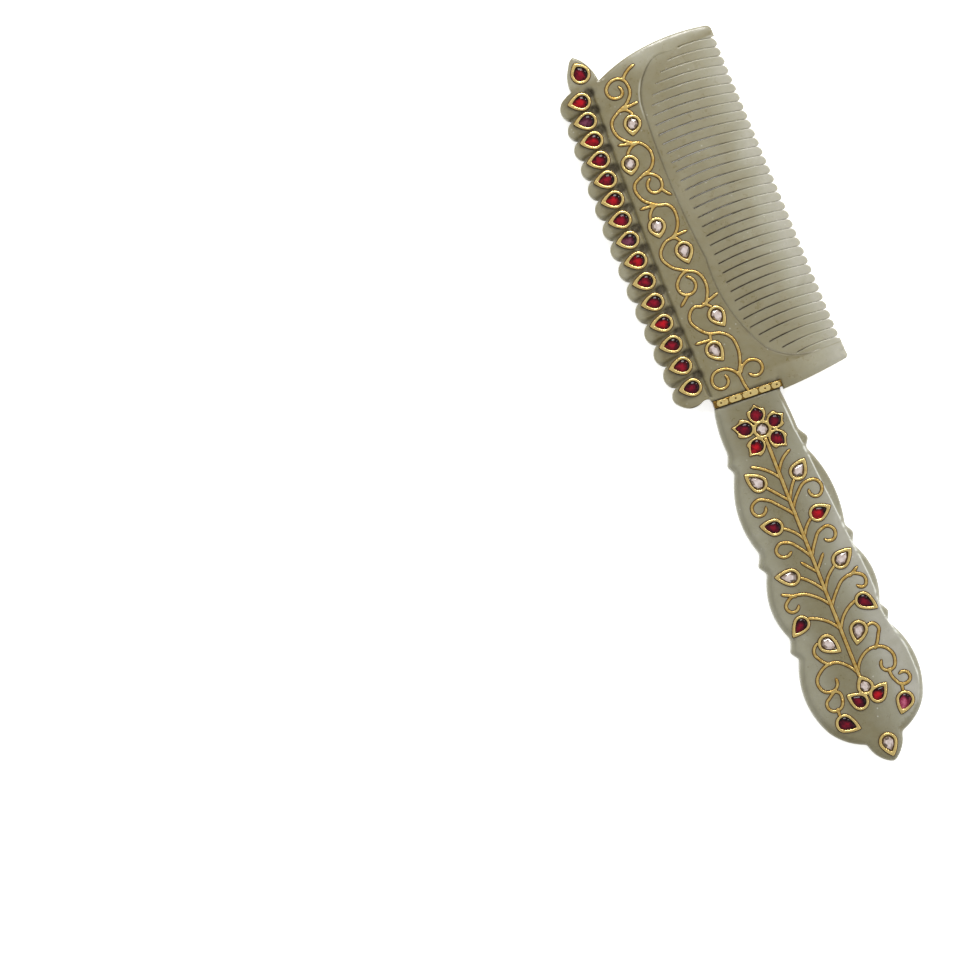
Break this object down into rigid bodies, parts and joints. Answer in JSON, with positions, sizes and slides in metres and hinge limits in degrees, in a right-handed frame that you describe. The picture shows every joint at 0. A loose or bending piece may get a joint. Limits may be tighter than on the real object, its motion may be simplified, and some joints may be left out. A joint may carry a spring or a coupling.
{
  "type": "hair comb",
  "caption": "Carved pale green jade hair comb with a long handle, gold wire scrollwork and collet-set red and clear stones.",
  "frame": {"origin": "under the middle of the comb's bounding box, on its flat back", "axes": "+Y along the comb towards the head, +X towards the teeth, +Z out of the decorated face"},
  "size_m": [0.0554, 0.232, 0.0069],
  "materials": {
    "jade": "polished",
    "gold": "polished",
    "ruby": "polished",
    "diamond": "polished",
    "silver_foil": "polished",
    "lac": "matte",
    "pin_iron": "satin"
  },
  "bodies": {
    "root": {"blade": "jade", "collar_band": "gold", "collar_plates": "gold", "diamond_end_finial": "diamond", "diamond_flower_centre": "diamond", "diamond_handle_left_1": "diamond", "diamond_handle_left_2": "diamond", "diamond_handle_left_3": "diamond", "diamond_handle_right_1": "diamond", "diamond_handle_right_2": "diamond", "diamond_handle_right_3": "diamond", "diamond_root_flower": "diamond", "diamond_vine_leaf_1": "diamond", "diamond_vine_leaf_2": "diamond", "diamond_vine_leaf_3": "diamond", "diamond_vine_leaf_4": "diamond", "diamond_vine_leaf_5": "diamond", "diamond_vine_leaf_6": "diamond", "flower_collet": "gold", "foil_backings": "silver_foil", "handle": "jade", "handle_branches_left": "gold", "handle_branches_right": "gold", "handle_leaf_collets": "gold", "handle_stem": "gold", "head_leaf_collets": "gold", "head_vine": "gold", "lac_beds": "lac", "ruby_flower_petal_1": "ruby", "ruby_flower_petal_2": "ruby", "ruby_flower_petal_3": "ruby", "ruby_flower_petal_4": "ruby", "ruby_flower_petal_5": "ruby", "ruby_handle_left_1": "ruby", "ruby_handle_left_2": "ruby", "ruby_handle_left_drop": "ruby", "ruby_handle_right_1": "ruby", "ruby_handle_right_2": "ruby", "ruby_handle_right_drop": "ruby", "ruby_petal_01": "ruby", "ruby_petal_02": "ruby", "ruby_petal_03": "ruby", "ruby_petal_04": "ruby", "ruby_petal_05": "ruby", "ruby_petal_06": "ruby", "ruby_petal_07": "ruby", "ruby_petal_08": "ruby", "ruby_petal_09": "ruby", "ruby_petal_10": "ruby", "ruby_petal_11": "ruby", "ruby_petal_12": "ruby", "ruby_petal_13": "ruby", "ruby_petal_14": "ruby", "ruby_petal_15": "ruby", "ruby_root_left": "ruby", "ruby_root_right": "ruby", "ruby_top_bud": "ruby", "spine_collets": "gold", "tang_pin": "pin_iron"}
  },
  "joints": []
}
